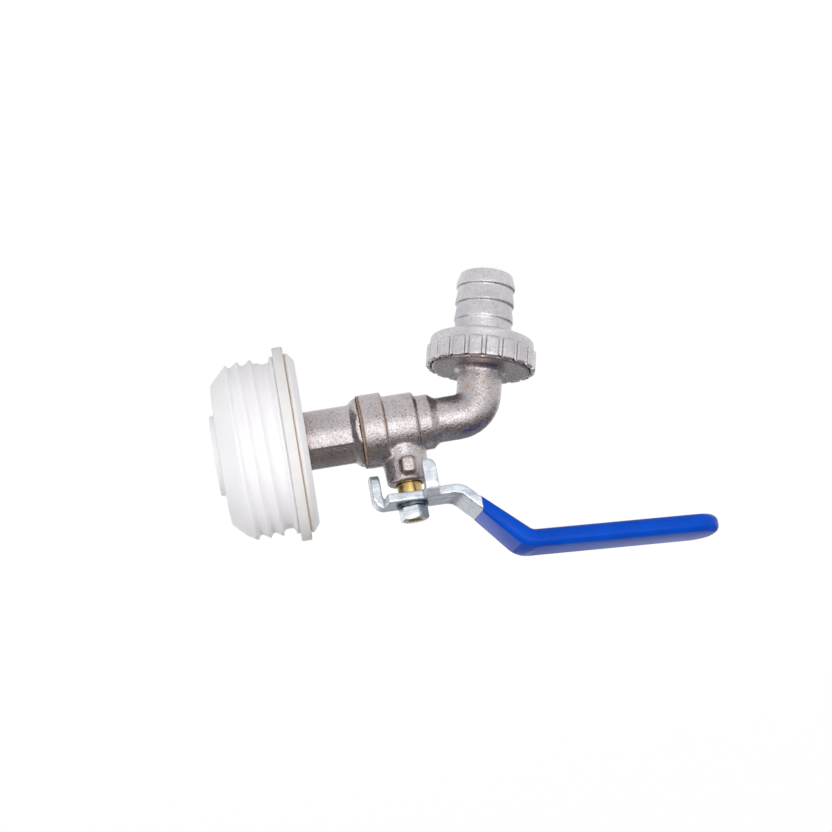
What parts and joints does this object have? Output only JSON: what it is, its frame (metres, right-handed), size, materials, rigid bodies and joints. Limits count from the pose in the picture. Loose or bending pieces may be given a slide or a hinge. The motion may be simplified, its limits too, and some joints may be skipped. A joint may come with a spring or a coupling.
{
  "type": "drum bung tap",
  "caption": "Threaded plastic drum bung with a lever ball tap, leaning elbow outlet and a barbed hose tail under a union nut.",
  "frame": {"origin": "centre of the bung's sealing plane, where the gasket's face meets the drum", "axes": "+X along the tap, the way the liquid leaves the drum; +Z along the stem towards the lever; the outlet points down, along -Z"},
  "size_m": [0.1532, 0.061, 0.0944],
  "materials": {
    "white_hdpe": "satin",
    "white_rubber": "matte",
    "black_rubber": "matte",
    "nickel_plated_brass": "satin nickel plating on blasted brass",
    "thread_sealant": "matte",
    "ptfe": "waxy",
    "chromed_brass": "polished",
    "brass": "turned",
    "zinc_plated_steel": "bright zinc plating",
    "blue_pvc": "dipped, glossy"
  },
  "bodies": {
    "tap": {"bung_plug": "white_hdpe", "bung_gasket": "white_rubber", "inlet_seal": "black_rubber", "inlet_end_piece": "nickel_plated_brass", "end_piece_seal": "thread_sealant", "tap_body": "nickel_plated_brass", "inlet_ball_seat": "ptfe", "outlet_ball_seat": "ptfe", "stem_thrust_washer": "ptfe"},
    "lever": {"ball": "chromed_brass", "stem": "brass", "stem_o_ring_lower": "black_rubber", "stem_o_ring_upper": "black_rubber", "lever_plate": "zinc_plated_steel", "lever_sleeve": "blue_pvc", "lever_washer": "zinc_plated_steel", "lever_nut": "zinc_plated_steel"},
    "tail": {"hose_tail": "nickel_plated_brass", "union_washer": "black_rubber"},
    "nut": {"union_nut": "nickel_plated_brass"}
  },
  "joints": [
    {"name": "lever_turn", "type": "hinge", "parent": "tap", "child": "lever", "pos_m": [0.03567, 0, 0], "axis": [0, 0, 1], "range_deg": [-82, 8]},
    {"name": "tail_slide", "type": "slide", "parent": "tap", "child": "tail", "axis": [0.2402, 0, -0.9707], "range_m": [0, 0.005]},
    {"name": "nut_turn", "type": "hinge", "parent": "tail", "child": "nut", "pos_m": [0.0607, 0, 0], "axis": [0.2402, 0, -0.9707], "range_deg": [0, 990]}
  ],
  "couplings": [
    {"joint": "tail_slide", "follows": "nut_turn", "m_per_rad": 0.00028871}
  ]
}
